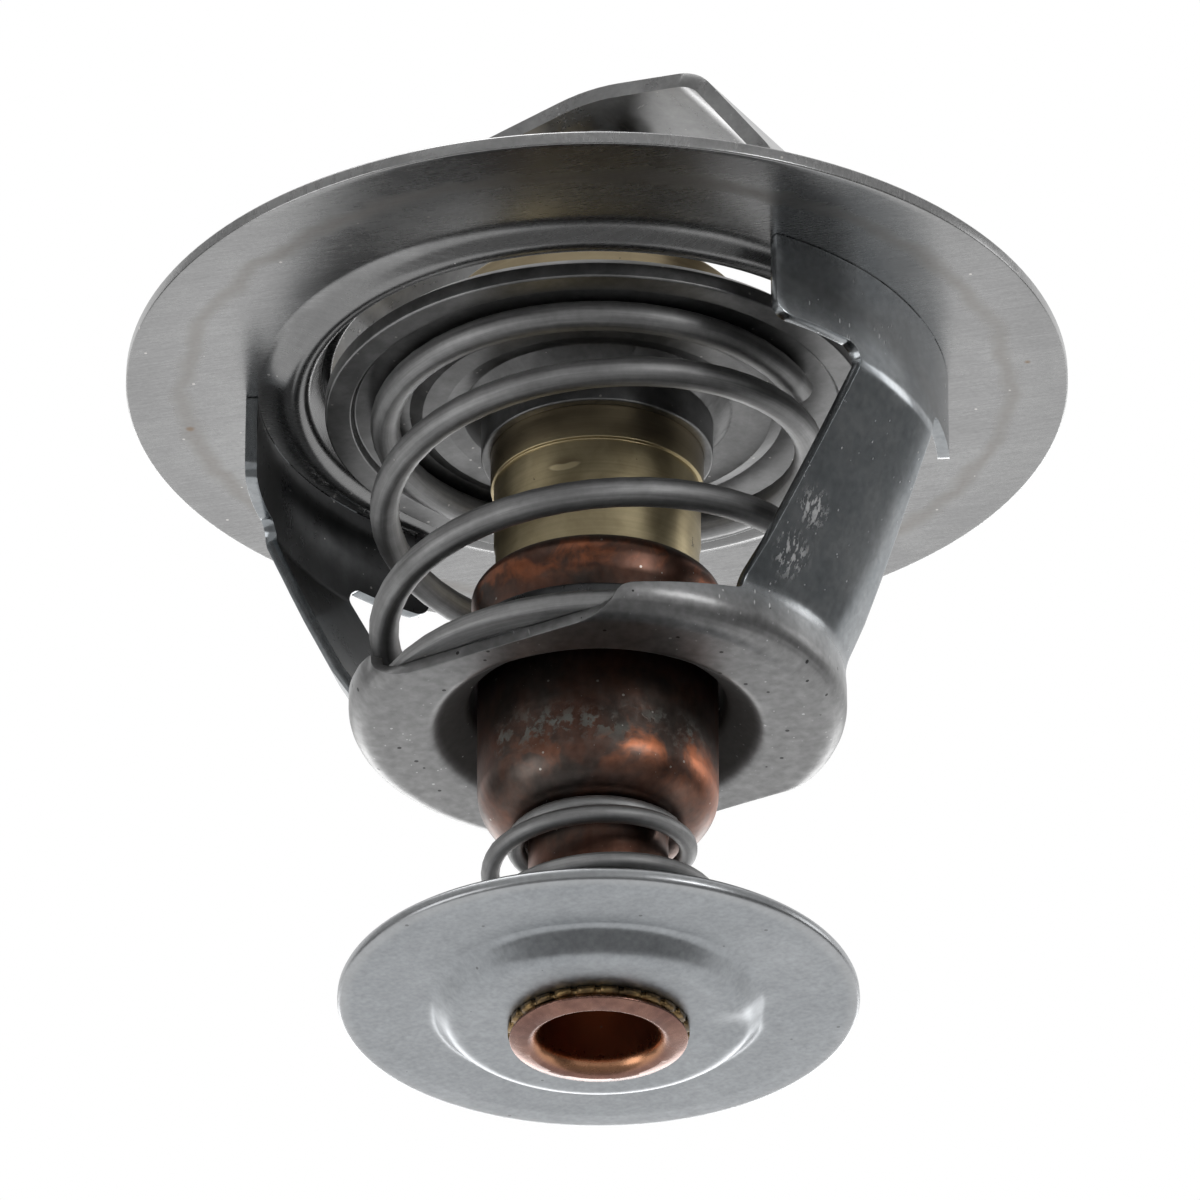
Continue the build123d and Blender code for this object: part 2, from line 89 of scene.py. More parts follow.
def adjust(tree, value, gain, base):
    return maths(tree, "MULTIPLY_ADD", value, gain, base)


def inverse(tree, mask):
    return maths(tree, "SUBTRACT", 1.0, mask)


def tint(tree, mask, under, over):
    sockets = {0: mask, 6: under, 7: over}
    return put(tree, "Mix", sockets, data_type="RGBA").outputs[2]


def step_up(tree, value, low, high):
    sockets = {"Value": value, "From Min": low, "From Max": high}
    node = put(tree, "MapRange", sockets, interpolation_type="SMOOTHSTEP")
    return node.outputs["Result"]


def grey(level, warmth=0.0):
    return (level * (1 + warmth), level, level * (1 - warmth), 1)


print("Nine node helpers are ready.")

# %% [markdown]
# ## Effects that several finishes share
# Each effect is a shader node group with named inputs, built once. A short function then
# places it in a material with sizes of its own, in features per metre, and its own amounts.

# %% Opening and placing a group
def new_effect(name, inputs, outputs):
    tree = bpy.data.node_groups.new(name, "ShaderNodeTree")
    for label, kind, value in inputs:
        socket = tree.interface.new_socket(label, in_out="INPUT", socket_type="NodeSocket" + kind)
        if value is not None:
            socket.default_value = value
    for label, kind in outputs:
        tree.interface.new_socket(label, in_out="OUTPUT", socket_type="NodeSocket" + kind)
    return tree, tree.nodes.new("NodeGroupInput"), tree.nodes.new("NodeGroupOutput")


def use_effect(tree, effect, sockets):
    return put(tree, "Group", sockets, node_tree=effect).outputs[0]


print("Effects can now be built as groups.")

# %% [markdown]
# Sheet metal carries fine lines from the rolls that flattened it, and wire carries them
# from the die. Noise that is stretched a long way in one direction gives such lines.

# %% Grain
grain, start, end = new_effect(
    "Grain",
    [("Vector", "Vector", None), ("Across", "Vector", (1, 1, 1)), ("Detail", "Float", 4.0)],
    [("Lines", "Float")],
)
stretched = put(grain, "VectorMath", {0: start.outputs["Vector"], 1: start.outputs["Across"]},
                operation="MULTIPLY")
streaks = put(grain, "TexNoise", {"Vector": stretched.outputs[0], "Scale": 1.0,
                                  "Detail": start.outputs["Detail"], "Roughness": 0.6})
grain.links.new(streaks.outputs["Fac"], end.inputs["Lines"])


def lined(tree, place, across, detail):
    return use_effect(tree, grain, {"Vector": place, "Across": across, "Detail": detail})


print("Grain is ready.")

# %% [markdown]
# Stains, tarnish and rubbed places have soft, uneven outlines. A noise that is itself
# bent by a second noise looks less regular than one noise alone.

# %% Patches
patches, start, end = new_effect(
    "Patches",
    [("Vector", "Vector", None), ("Scale", "Float", 200.0), ("Level", "Float", 0.5),
     ("Softness", "Float", 0.1), ("Bend", "Float", 0.5)],
    [("Mask", "Float")],
)
warp = put(patches, "TexNoise", {"Vector": start.outputs["Vector"],
                                 "Scale": start.outputs["Scale"], "Detail": 3.0})
scaled = put(patches, "VectorMath", {0: start.outputs["Vector"], "Scale": start.outputs["Scale"]},
             operation="SCALE")
shift = put(patches, "VectorMath", {0: warp.outputs["Color"], "Scale": start.outputs["Bend"]},
            operation="SCALE")
moved = put(patches, "VectorMath", {0: scaled.outputs[0], 1: shift.outputs[0]}, operation="ADD")
blots = put(patches, "TexNoise", {"Vector": moved.outputs[0], "Scale": 1.0, "Detail": 6.0,
                                  "Roughness": 0.62})
low = maths(patches, "SUBTRACT", start.outputs["Level"], start.outputs["Softness"])
high = maths(patches, "ADD", start.outputs["Level"], start.outputs["Softness"])
patches.links.new(step_up(patches, blots.outputs["Fac"], low, high), end.inputs["Mask"])


def patchy(tree, place, scale, level, softness, bend):
    return use_effect(tree, patches, {"Vector": place, "Scale": scale, "Level": level,
                                      "Softness": softness, "Bend": bend})


print("Patches are ready.")

# %% [markdown]
# Dust, pits and crumbs are tiny and sparse. Each cell of a Voronoi texture has its own
# random colour, so a threshold on that colour keeps only a few cells, and the distance
# to the cell's point makes each of them a dot.

# %% Specks
specks, start, end = new_effect(
    "Specks",
    [("Vector", "Vector", None), ("Scale", "Float", 1500.0), ("Share", "Float", 0.05),
     ("Size", "Float", 0.3)],
    [("Mask", "Float")],
)
cells = put(specks, "TexVoronoi", {"Vector": start.outputs["Vector"],
                                   "Scale": start.outputs["Scale"]})
lot = put(specks, "SeparateColor", {0: cells.outputs["Color"]})
chosen = maths(specks, "LESS_THAN", lot.outputs[0], start.outputs["Share"])
dot = maths(specks, "LESS_THAN", cells.outputs["Distance"], start.outputs["Size"])
specks.links.new(times(specks, chosen, dot), end.inputs["Mask"])


def speckled(tree, place, scale, share, size):
    return use_effect(tree, specks, {"Vector": place, "Scale": scale, "Share": share,
                                     "Size": size})


print("Specks are ready.")

# %% [markdown]
# A scratch is a speck that is drawn out along one direction. Cells of a Voronoi texture
# that are stretched many times leave short bright lines. The vector is turned first, so the
# lines can run at any angle.

# %% Scratches
scratches, start, end = new_effect(
    "Scratches",
    [("Vector", "Vector", None), ("Turn", "Vector", (0, 0, 0)), ("Across", "Vector", (1, 1, 1)),
     ("Share", "Float", 0.05)],
    [("Mask", "Float")],
)
turned = put(scratches, "VectorRotate", {"Vector": start.outputs["Vector"],
                                         "Rotation": start.outputs["Turn"]},
             rotation_type="EULER_XYZ")
stretched = put(scratches, "VectorMath", {0: turned.outputs[0], 1: start.outputs["Across"]},
                operation="MULTIPLY")
cells = put(scratches, "TexVoronoi", {"Vector": stretched.outputs[0], "Scale": 1.0})
lot = put(scratches, "SeparateColor", {0: cells.outputs["Color"]})
chosen = maths(scratches, "LESS_THAN", lot.outputs[0], start.outputs["Share"])
line = step_up(scratches, cells.outputs["Distance"], 0.32, 0.1)
scratches.links.new(times(scratches, chosen, line), end.inputs["Mask"])


def scratched(tree, place, turn, across, share):
    return use_effect(tree, scratches, {"Vector": place, "Turn": turn, "Across": across,
                                        "Share": share})


print("Scratches are ready.")

# %% [markdown]
# Turned and pressed parts are round, so some marks follow a circle about the valve's
# axis. This effect gives a soft band at one radius, which is also used for heights.

# %% Bands
bands, start, end = new_effect(
    "Band",
    [("Value", "Float", 0.0), ("Middle", "Float", 0.03), ("Half width", "Float", 0.001)],
    [("Mask", "Float")],
)
offset = maths(bands, "SUBTRACT", start.outputs["Value"], start.outputs["Middle"])
away = maths(bands, "ABSOLUTE", offset)
band = put(bands, "MapRange", {"Value": away, "From Max": start.outputs["Half width"],
                               "To Min": 1.0, "To Max": 0.0}, interpolation_type="SMOOTHSTEP")
bands.links.new(band.outputs["Result"], end.inputs["Mask"])


def band_at(tree, value, middle, half_width):
    return use_effect(tree, bands, {"Value": value, "Middle": middle * mm,
                                    "Half width": half_width * mm})


print("Bands are ready.")

# %% [markdown]
# ## Places on the object
# A finish also changes from place to place. Height, distance from the valve's axis and
# distance from a point are all that these round parts need. These helpers, like the bands,
# take their sizes in millimetres.

# %% Heights, radii and spots
def height_of(tree, place):
    return put(tree, "SeparateXYZ", {0: place}).outputs["Z"]


def radius_of(tree, place):
    flat = put(tree, "VectorMath", {0: place, 1: (1, 1, 0)}, operation="MULTIPLY").outputs[0]
    return put(tree, "VectorMath", {0: flat}, operation="LENGTH").outputs["Value"]


def between(tree, value, nothing_at, full_at):
    return step_up(tree, value, nothing_at * mm, full_at * mm)


def spot(tree, place, middle, size):
    middle = [part * mm for part in middle]
    apart = put(tree, "VectorMath", {0: place, 1: middle}, operation="DISTANCE").outputs["Value"]
    return between(tree, apart, size, 0.25 * size)


def two_spots(tree, place, listed):
    first, second = (spot(tree, place, middle, size) for middle, size in listed)
    return larger(tree, first, second)


print("Places can be found by height, radius and distance.")

# %% [markdown]
# ## Steel
# The plain steel parts start from the same recipe: a colour that drifts between two greys
# in patches, fine grain in the roughness and in a bump, a few scratches that are brighter
# than the skin, and specks of dust. What differs is passed in.

# %% Opening and closing a material
def new_material(name):
    material = bpy.data.materials.new(name)
    material.use_nodes = True
    tree = material.node_tree
    tree.nodes.clear()
    place = put(tree, "TexCoord").outputs["Object"]
    return material, tree, place


def finish_material(tree, colour, roughness, height, metallic=1.0, strength=0.2, depth=0.05):
    skin = put(tree, "BsdfPrincipled", {"Base Color": colour, "Metallic": metallic,
                                        "Roughness": roughness})
    bump = put(tree, "Bump", {"Height": height, "Strength": strength, "Distance": depth * mm})
    tree.links.new(bump.outputs["Normal"], skin.inputs["Normal"])
    put(tree, "OutputMaterial", {"Surface": skin.outputs["BSDF"]})


def shaded(tree, colour, pattern, low, high):
    shade = put(tree, "MapRange", {"Value": pattern, "From Min": 0.3, "From Max": 0.7,
                                   "To Min": low, "To Max": high}).outputs["Result"]
    return put(tree, "Mix", {0: 1.0, 6: colour, 7: shade}, data_type="RGBA",
               blend_type="MULTIPLY").outputs[2]


def fine_noise(tree, place, scale=2600.0, detail=3.0):
    return put(tree, "TexNoise", {"Vector": place, "Scale": scale, "Detail": detail}).outputs["Fac"]


print("Materials can be opened, shaded and finished.")

# %% The steel recipe
def steel(name, dark, light, rough, grain_scale, scratch_share, speck_share, cool=0.0,
          spread=0.06, strength=0.2, place_name=None, lines_depth=0.12):
    material, tree, place = new_material(name)
    if place_name:
        place = put(tree, "Attribute", attribute_name=place_name).outputs["Vector"]
    lines = lined(tree, place, grain_scale, detail=5.0)
    cloud = patchy(tree, place, scale=220.0, level=0.52, softness=0.2, bend=0.8)
    fine = fine_noise(tree, place)
    scores = scratched(tree, place, turn=(0, 0, 0.6), across=(260, 5200, 5200),
                       share=scratch_share)
    dust = speckled(tree, place, scale=2300.0, share=speck_share, size=0.22)
    colour = tint(tree, cloud, grey(dark, -cool), grey(light, -cool))
    colour = shaded(tree, colour, lines, 1 - lines_depth, 1 + lines_depth)
    colour = shaded(tree, colour, fine, 0.94, 1.05)
    colour = tint(tree, times(tree, scores, 0.7), colour, grey(0.75))
    colour = tint(tree, dust, colour, grey(0.5, 0.03))
    roughness = adjust(tree, lines, spread * 2, rough - spread)
    roughness = adjust(tree, fine, 0.06, roughness)
    roughness = adjust(tree, scores, 0.15, roughness)
    height = adjust(tree, fine, 0.5, lines)
    height = adjust(tree, scores, -0.8, height)
    finish_material(tree, colour, roughness, height, strength=strength, depth=0.01)
    return material


print("The steel recipe is ready.")

# %% The steels
bridge_steel = steel("bridge_steel", dark=0.26, light=0.34, rough=0.26,
                     grain_scale=(500, 90, 500), scratch_share=0.02, speck_share=0.01)
valve_steel = steel("valve_steel", dark=0.18, light=0.27, rough=0.34,
                    grain_scale=(900, 900, 900), scratch_share=0.0, speck_share=0.03, spread=0.08)
wire_steel = steel("wire_steel", dark=0.24, light=0.33, rough=0.5,
                   grain_scale=(90, 3400, 3400), scratch_share=0.0, speck_share=0.004, spread=0.1,
                   place_name="wire_path", lines_depth=0.25, strength=0.35)
piston_steel = steel("piston_steel", dark=0.5, light=0.55, rough=0.15,
                     grain_scale=(2000, 2000, 200), scratch_share=0.01, speck_share=0.0)
print("Four steels are ready.")

# %% [markdown]
# ## The cage's polished steel
# The legs of the cage slid through a press tool, which left them bright and smooth with
# short marks along the leg. The right leg also has a rough scrape. The ring was stretched,
# so it is matt, sandy and pitted. The mouth of the funnel in it is dirty, and it is also
# painted dark and dull as painted shade, for the deep shade inside the funnel.
# Height and distance from the axis tell these places apart. The inner side of the sheet
# faces the dark spring and cup, so it is painted with a darker steel, as painted shade.

# %% Where the cage's finish changes
cage_steel, tree, place = new_material("cage_steel")
leg_foot, ring_crown = -22.5, -26.5
mouth_edge, mouth_inside = 11.9, 10.9
scrapes = [((19.6, -4.2, -17.6), 2.2), ((18.6, -4.6, -21.2), 2.4)]
stretched = between(tree, height_of(tree, place), leg_foot, ring_crown)
# Painted shade: the funnel's mouth is painted dark and dull, partly for dirt and partly for the
# deep shade inside it.
mouth_dirt_and_shade = between(tree, radius_of(tree, place), mouth_edge, mouth_inside)
print("The cage is matt below", leg_foot, "mm and dark within", mouth_edge, "mm.")

# %% Marks on the legs
ticks = scratched(tree, place, turn=(0.1, 0.25, 0), across=(3600, 3600, 700), share=0.045)
strokes = scratched(tree, place, turn=(0.75, 0.4, 0.3), across=(4200, 4200, 320), share=0.012)
worn = patchy(tree, place, scale=150.0, level=0.54, softness=0.08, bend=1.0)
marks = times(tree, larger(tree, ticks, strokes), adjust(tree, worn, 0.8, 0.2))
crumbled = step_up(tree, lined(tree, place, (2900, 2900, 520), detail=5.0), 0.5, 0.6)
marks = larger(tree, marks, times(tree, crumbled, two_spots(tree, place, scrapes)))
print("The legs have ticks, strokes and", len(scrapes), "scraped places.")

# %% Cage steel
fine = fine_noise(tree, place, 1700.0, 5.0)
sandy = fine_noise(tree, place, 900.0, 6.0)
cloud = patchy(tree, place, scale=190.0, level=0.5, softness=0.22, bend=0.8)
dust = speckled(tree, place, scale=1900.0, share=0.006, size=0.22)
pits = speckled(tree, place, scale=1300.0, share=0.09, size=0.2)
colour = tint(tree, cloud, (0.275, 0.295, 0.31, 1), (0.345, 0.36, 0.37, 1))
colour = tint(tree, stretched, colour, grey(0.24))
sand_where = adjust(tree, maths(tree, "SUBTRACT", sandy, 0.5), stretched, 0.5)
colour = shaded(tree, colour, sand_where, 0.85, 1.14)
colour = tint(tree, times(tree, pits, stretched), colour, grey(0.05))
# Painted shade and dirt: the mouth of the funnel is painted near black.
colour = tint(tree, mouth_dirt_and_shade, colour, grey(0.06, 0.06))
colour = shaded(tree, colour, fine, 0.86, 1.1)
colour = tint(tree, times(tree, marks, 0.75), colour, grey(0.8))
colour = tint(tree, dust, colour, grey(0.5))
roughness = adjust(tree, cloud, 0.05, 0.19)
roughness = adjust(tree, stretched, 0.17, roughness)
roughness = adjust(tree, mouth_dirt_and_shade, 0.5, roughness)
roughness = adjust(tree, marks, 0.25, roughness)
pitted = times(tree, fine, adjust(tree, stretched, 0.9, 0.12))
bumps = adjust(tree, marks, -0.5, pitted)
finish_material(tree, colour, roughness, bumps, metallic=inverse(tree, mouth_dirt_and_shade), strength=0.35,
                depth=0.025)
# Painted shade: a darker copy of the steel for the side of the sheet that faces the spring and cup.
cage_inside_painted_shade = steel("cage_inside_painted_shade", dark=0.085, light=0.13, rough=0.26,
                    grain_scale=(500, 500, 120), scratch_share=0.006, speck_share=0.012, cool=0.02)
print("The cage's two steels are ready.")

# %% [markdown]
# ## The flange's own finish
# The flange was rolled in one direction, so its grain is straight: one layer of fine short
# lines and a faint layer of long ones. A soft brown ring shows where the housing pressed
# on it, and there are a few small stains. Inside the bead the sheet is painted darker, as a
# painted reflection of the cage's shaded walls.

# %% Where the flange's finish changes
flange_steel, tree, place = new_material("flange_steel")
witness_radius, witness_half, wander_width = 29.3, 1.1, 2.6
edge_start, edge_full = 29.5, 32.5
bead_outside, bead_inside = 24.6, 22.8
stain_places = [((-27.5, -10.5, 0), 0.45), ((28.3, 12.0, 0), 0.3)]
cloud = patchy(tree, place, scale=120.0, level=0.5, softness=0.25, bend=1.0)
radius = radius_of(tree, place)
wander = fine_noise(tree, place, 240.0, 5.0)
centred = maths(tree, "SUBTRACT", radius, wander_width / 2 * mm)
ragged = adjust(tree, wander, wander_width * mm, centred)
witness = band_at(tree, ragged, witness_radius, witness_half)
witness = times(tree, witness, adjust(tree, cloud, 0.5, 0.5))
edge_band = between(tree, radius, edge_start, edge_full)
# Painted reflection: inside the bead the flange is painted darker, for the cage's shaded walls that
# it mirrors.
painted_shade_in_bead = between(tree, ragged, bead_outside, bead_inside)
print("The witness ring wanders by", wander_width, "mm round", witness_radius, "mm.")

# %% Flange steel
rolling_angle = radians(-15)
rolled = put(tree, "VectorRotate", {"Vector": place, "Axis": (0, 0, 1), "Angle": rolling_angle},
             rotation_type="AXIS_ANGLE").outputs[0]
short_lines = lined(tree, rolled, (520, 6500, 800), detail=3.0)
long_lines = lined(tree, rolled, (70, 1500, 300), detail=5.0)
fine = fine_noise(tree, place, 3200.0, 4.0)
dust = speckled(tree, place, scale=1500.0, share=0.03, size=0.17)
stains = two_spots(tree, place, stain_places)
colour = tint(tree, cloud, grey(0.32), grey(0.385))
colour = shaded(tree, colour, short_lines, 0.9, 1.1)
colour = shaded(tree, colour, long_lines, 0.95, 1.05)
colour = shaded(tree, colour, fine, 0.93, 1.06)
colour = tint(tree, times(tree, witness, 0.4), colour, (0.19, 0.16, 0.13, 1))
colour = tint(tree, times(tree, edge_band, 0.12), colour, grey(0.2))
# Painted reflection of the shaded walls inside the bead.
colour = tint(tree, times(tree, painted_shade_in_bead, 0.6), colour, grey(0.12))
colour = tint(tree, times(tree, stains, 0.6), colour, (0.22, 0.13, 0.06, 1))
colour = tint(tree, dust, colour, grey(0.6, 0.03))
roughness = adjust(tree, short_lines, 0.1, 0.19)
roughness = adjust(tree, cloud, 0.05, roughness)
roughness = adjust(tree, witness, 0.1, roughness)
bumps = adjust(tree, fine, 0.8, short_lines)
finish_material(tree, colour, roughness, bumps, strength=0.3, depth=0.008)
print("The flange's steel is ready.")

# %% [markdown]
# ## Zinc
# The bypass disc is galvanised: an even, cool grey with a very fine, sandy grain and a few
# dark pits. Its sheared rim is painted brighter all round, as a painted highlight.

# %% Zinc
zinc, tree, place = new_material("bypass_zinc")
rim_radius, rim_half = 17.9, 0.9
fine = fine_noise(tree, place, 2600.0, 6.0)
sand = fine_noise(tree, place, 900.0, 6.0)
cloud = patchy(tree, place, scale=150.0, level=0.5, softness=0.3, bend=0.6)
pits = speckled(tree, place, scale=1100.0, share=0.03, size=0.15)
# Painted highlight: a brighter band round the disc's rim.
rim_painted_highlight = band_at(tree, radius_of(tree, place), rim_radius, rim_half)
colour = tint(tree, cloud, (0.295, 0.31, 0.325, 1), (0.345, 0.36, 0.375, 1))
colour = shaded(tree, colour, fine, 0.88, 1.1)
colour = shaded(tree, colour, sand, 0.93, 1.06)
# The rim's painted highlight.
colour = tint(tree, times(tree, rim_painted_highlight, 0.35), colour, grey(0.5))
colour = tint(tree, times(tree, pits, 0.6), colour, grey(0.1))
roughness = adjust(tree, fine, 0.16, 0.24)
grains = adjust(tree, sand, 1.2, fine)
finish_material(tree, colour, roughness, grains, strength=0.4, depth=0.016)
print("Zinc is ready.")

# %% [markdown]
# ## Brass
# The guide is turned from bar, so it has fine rings around its axis. It has dulled to
# olive, with dark specks. In the hollow under the valve it is painted browner and darker, as
# painted shade. A punch left one small stake mark on its side; it is only painted, as
# painted shade in the dent and a painted highlight on the lip under it. Both are spots, and
# the lip is what is left of the dent when the same spot, a little higher, is taken away.
# Heights are stretched before the distance is taken, so the mark is a flat one.

# %% The stake mark on the guide
brass, tree, place = new_material("guide_brass")
stake_angle, stake_radius, stake_size = radians(-78), 7.5, 1.6
dent_height, cut_height, flatness = -9.95, -9.65, 2.2
tall_place = put(tree, "VectorMath", {0: place, 1: (1, 1, flatness)},
                 operation="MULTIPLY").outputs[0]


def stake(height):
    middle = (stake_radius * cos(stake_angle), stake_radius * sin(stake_angle), height * flatness)
    return spot(tree, tall_place, middle, stake_size)


# The stake mark is only painted: painted shade in the dent and a painted highlight on its lip.
dent_painted_shade = stake(dent_height)
lip_painted_highlight = step_up(tree, maths(tree, "SUBTRACT", dent_painted_shade, stake(cut_height)), 0.1, 0.4)
print("The stake mark fades out", stake_size, "mm from its middle.")

# %% Brass
hollow_low, hollow_high = -8.6, -7.2
ridge_height, ridge_half = -8.1, 0.12
height_up = height_of(tree, place)
# Painted shade: the brass is darker and browner in the hollow under the valve.
painted_shade_under_valve = between(tree, height_up, hollow_low, hollow_high)
# Painted highlight: a bright ring along the step of the guide.
ridge_painted_highlight = band_at(tree, height_up, ridge_height, ridge_half)
rings = lined(tree, place, (50, 50, 5200), detail=4.0)
cloud = patchy(tree, place, scale=240.0, level=0.5, softness=0.2, bend=1.2)
flecks = patchy(tree, place, scale=900.0, level=0.71, softness=0.025, bend=0.4)
colour = tint(tree, cloud, (0.39, 0.32, 0.19, 1), (0.52, 0.44, 0.27, 1))
# Painted shade under the valve.
colour = tint(tree, times(tree, painted_shade_under_valve, 0.6), colour, (0.24, 0.19, 0.13, 1))
colour = shaded(tree, colour, rings, 0.92, 1.08)
# The step's painted highlight.
colour = tint(tree, ridge_painted_highlight, colour, (0.6, 0.5, 0.3, 1))
colour = tint(tree, flecks, colour, (0.07, 0.06, 0.04, 1))
# Painted shade in the dent, then the painted highlight on its lip.
colour = tint(tree, times(tree, dent_painted_shade, 0.6), colour, (0.2, 0.15, 0.09, 1))
colour = tint(tree, lip_painted_highlight, colour, (0.8, 0.68, 0.42, 1))
roughness = adjust(tree, rings, 0.08, 0.27)
roughness = adjust(tree, cloud, 0.06, roughness)
finish_material(tree, colour, roughness, rings, strength=0.12, depth=0.008)
print("Brass is ready.")

# %% [markdown]
# ## Copper
# The cup has been hot and wet for years. Most of it is a dark red-brown skin. It is orange
# where that skin is thin, and a granular grey crust sits on the crimp and low on the front.
# The flared end of the stem is still clean and pink, and its bore is orange.

# %% Where the cup's finish changes
copper, tree, place = new_material("cup_copper")
orange_heights = [(-32.6, 3.0), (-18.2, 2.0)]
crust_heights = [(-31.4, 2.4), (-16.3, 1.1)]
camera_right_direction, right_side_from, right_side_to = (0.86, 0.51, 0), -5.0, 2.0
flare_top, flare_low = -49.0, -51.8
bore_edge, bore_inside, bore_top, bore_start = 4.8, 4.3, -43.0, -44.0
height_up = height_of(tree, place)
# The low orange band is kept mostly to the cup's side at the camera's right and fades towards its
# left.
across = put(tree, "VectorMath", {0: place, 1: camera_right_direction}, operation="DOT_PRODUCT")
camera_right_side = between(tree, across.outputs["Value"], right_side_from, right_side_to)
orange_low, orange_high = (band_at(tree, height_up, *span) for span in orange_heights)
crust_low, crust_top = (band_at(tree, height_up, *span) for span in crust_heights)
flare = between(tree, height_up, flare_top, flare_low)
bore = times(tree, between(tree, radius_of(tree, place), bore_edge, bore_inside),
             between(tree, height_up, bore_top, bore_start))
print("The cup has two orange bands and two of crust.")

# %% Thin places and crust
thin = patchy(tree, place, scale=170.0, level=0.53, softness=0.09, bend=1.6)
orange_low = times(tree, orange_low, adjust(tree, camera_right_side, 0.8, 0.2))
orange_where = larger(tree, orange_low, orange_high)
orange = times(tree, thin, adjust(tree, orange_where, 0.9, 0.1))
crumbs = patchy(tree, place, scale=950.0, level=0.53, softness=0.05, bend=0.9)
fields = patchy(tree, place, scale=160.0, level=0.5, softness=0.1, bend=1.0)
crust = times(tree, times(tree, crust_low, fields), crumbs)
crust = larger(tree, crust, times(tree, crust_top, 0.8))
dust = speckled(tree, place, scale=2100.0, share=0.03, size=0.2)
fibres = scratched(tree, place, turn=(0.3, 0.2, 0.8), across=(1000, 9000, 9000), share=0.006)
dust = times(tree, larger(tree, dust, fibres), inverse(tree, flare))
print("The skin has thin places, crumbs, dust and fibres.")

# %% Copper
fine = fine_noise(tree, place, 1700.0, 6.0)
soft = fine_noise(tree, place, 420.0, 4.0)
reddish = patchy(tree, place, scale=120.0, level=0.5, softness=0.12, bend=0.8)
dark_skin = tint(tree, reddish, (0.095, 0.078, 0.069, 1), (0.15, 0.078, 0.057, 1))
colour = tint(tree, orange, dark_skin, (0.42, 0.15, 0.075, 1))
colour = shaded(tree, colour, soft, 0.78, 1.2)
colour = shaded(tree, colour, fine, 0.85, 1.12)
pink = tint(tree, reddish, (0.17, 0.092, 0.076, 1), (0.28, 0.155, 0.12, 1))
colour = tint(tree, flare, colour, shaded(tree, pink, fine, 0.85, 1.12))
colour = tint(tree, bore, colour, (0.5, 0.25, 0.14, 1))
colour = tint(tree, times(tree, crust, 0.85), colour, (0.155, 0.165, 0.15, 1))
colour = tint(tree, times(tree, dust, 0.6), colour, (0.5, 0.48, 0.44, 1))
roughness = adjust(tree, crust, 0.3, 0.31)
roughness = adjust(tree, flare, -0.09, roughness)
roughness = adjust(tree, fine, 0.1, roughness)
metallic = adjust(tree, crust, -0.5, 1.0)
bumps = adjust(tree, crust, 1.6, fine)
bumps = adjust(tree, soft, 1.5, bumps)
finish_material(tree, colour, roughness, bumps, metallic=metallic, strength=0.4, depth=0.03)
print("Copper is ready.")

# %% [markdown]
# ## Small hidden and half-hidden parts
# The lock ring is dull bronze. The boot, the washer and the wax are hardly seen, but the
# model may be opened up, so each has its own finish.

# %% Bronze, rubber, washer and wax
bronze, tree, place = new_material("lock_ring_bronze")
fine = patchy(tree, place, scale=900.0, level=0.5, softness=0.15, bend=0.8)
colour = tint(tree, fine, (0.10, 0.07, 0.04, 1), (0.33, 0.22, 0.10, 1))
finish_material(tree, colour, 0.42, fine, depth=0.01)

rubber, tree, place = new_material("boot_rubber")
fine = fine_noise(tree, place, 1600.0)
finish_material(tree, tint(tree, fine, grey(0.012), grey(0.03)), 0.6, fine, metallic=0.0)

washer_white, tree, place = new_material("washer_plastic")
fine = fine_noise(tree, place, 900.0)
colour = tint(tree, fine, grey(0.5, 0.03), grey(0.62, 0.03))
finish_material(tree, colour, 0.45, fine, metallic=0.0)

wax, tree, place = new_material("wax_and_copper")
fine = speckled(tree, place, scale=3000.0, share=0.3, size=0.4)
colour = tint(tree, fine, (0.5, 0.33, 0.18, 1), (0.45, 0.2, 0.1, 1))
finish_material(tree, colour, 0.5, fine, metallic=0.0)
print("Four small finishes are ready.")

# %% [markdown]
# ## Sheet and turned parts
# A CAD node arrives as loose triangles with knife-sharp edges. A merged copy can be
# shaded smoothly, and a narrow bevel on its edges catches the light, as a real sheared
# or turned edge does. The copy then stands for the node.

# %% Copies with finished edges
same_place, same_plane = 0.002 * mm, radians(0.3)
sharp_from, bevel_steps = radians(40), 2


def add_object(name, data):
    made = bpy.data.objects.new(name, data)
    bpy.context.scene.collection.objects.link(made)
    return made


def finished_copy(node, piece, material, body, edge=0.08):
    shape = bmesh.new()
    shape.from_mesh(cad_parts[node].data)
    bmesh.ops.remove_doubles(shape, verts=shape.verts, dist=same_place)
    bmesh.ops.dissolve_limit(shape, angle_limit=same_plane, verts=shape.verts, edges=shape.edges)
    sharp = [e for e in shape.edges if len(e.link_faces) == 2 and e.calc_face_angle() > sharp_from]
    if edge:
        bmesh.ops.bevel(shape, geom=sharp, offset=edge * mm, segments=bevel_steps, profile=0.5,
                        affect="EDGES", material=-1, clamp_overlap=True)
    bmesh.ops.triangulate(shape, faces=[f for f in shape.faces if len(f.verts) > 4])
    mesh = bpy.data.meshes.new(piece)
    shape.to_mesh(mesh)
    shape.free()
    mesh.materials.append(material)
    mesh.shade_smooth()
    made = add_object(piece, mesh)
    made.modifiers.new("even_normals", "WEIGHTED_NORMAL").keep_sharp = True
    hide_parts(node)
    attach(made, body)
    print(piece, "has", len(mesh.polygons), "faces.")


finished_copy("bridge", "bridge_strap", bridge_steel, "frame")
finished_copy("valve_disc", "valve_pressing", valve_steel, "element")
finished_copy("guide", "brass_guide", brass, "element")
finished_copy("wax_cup", "copper_cup", copper, "element")
finished_copy("lock_ring", "toothed_ring", bronze, "element", edge=0)

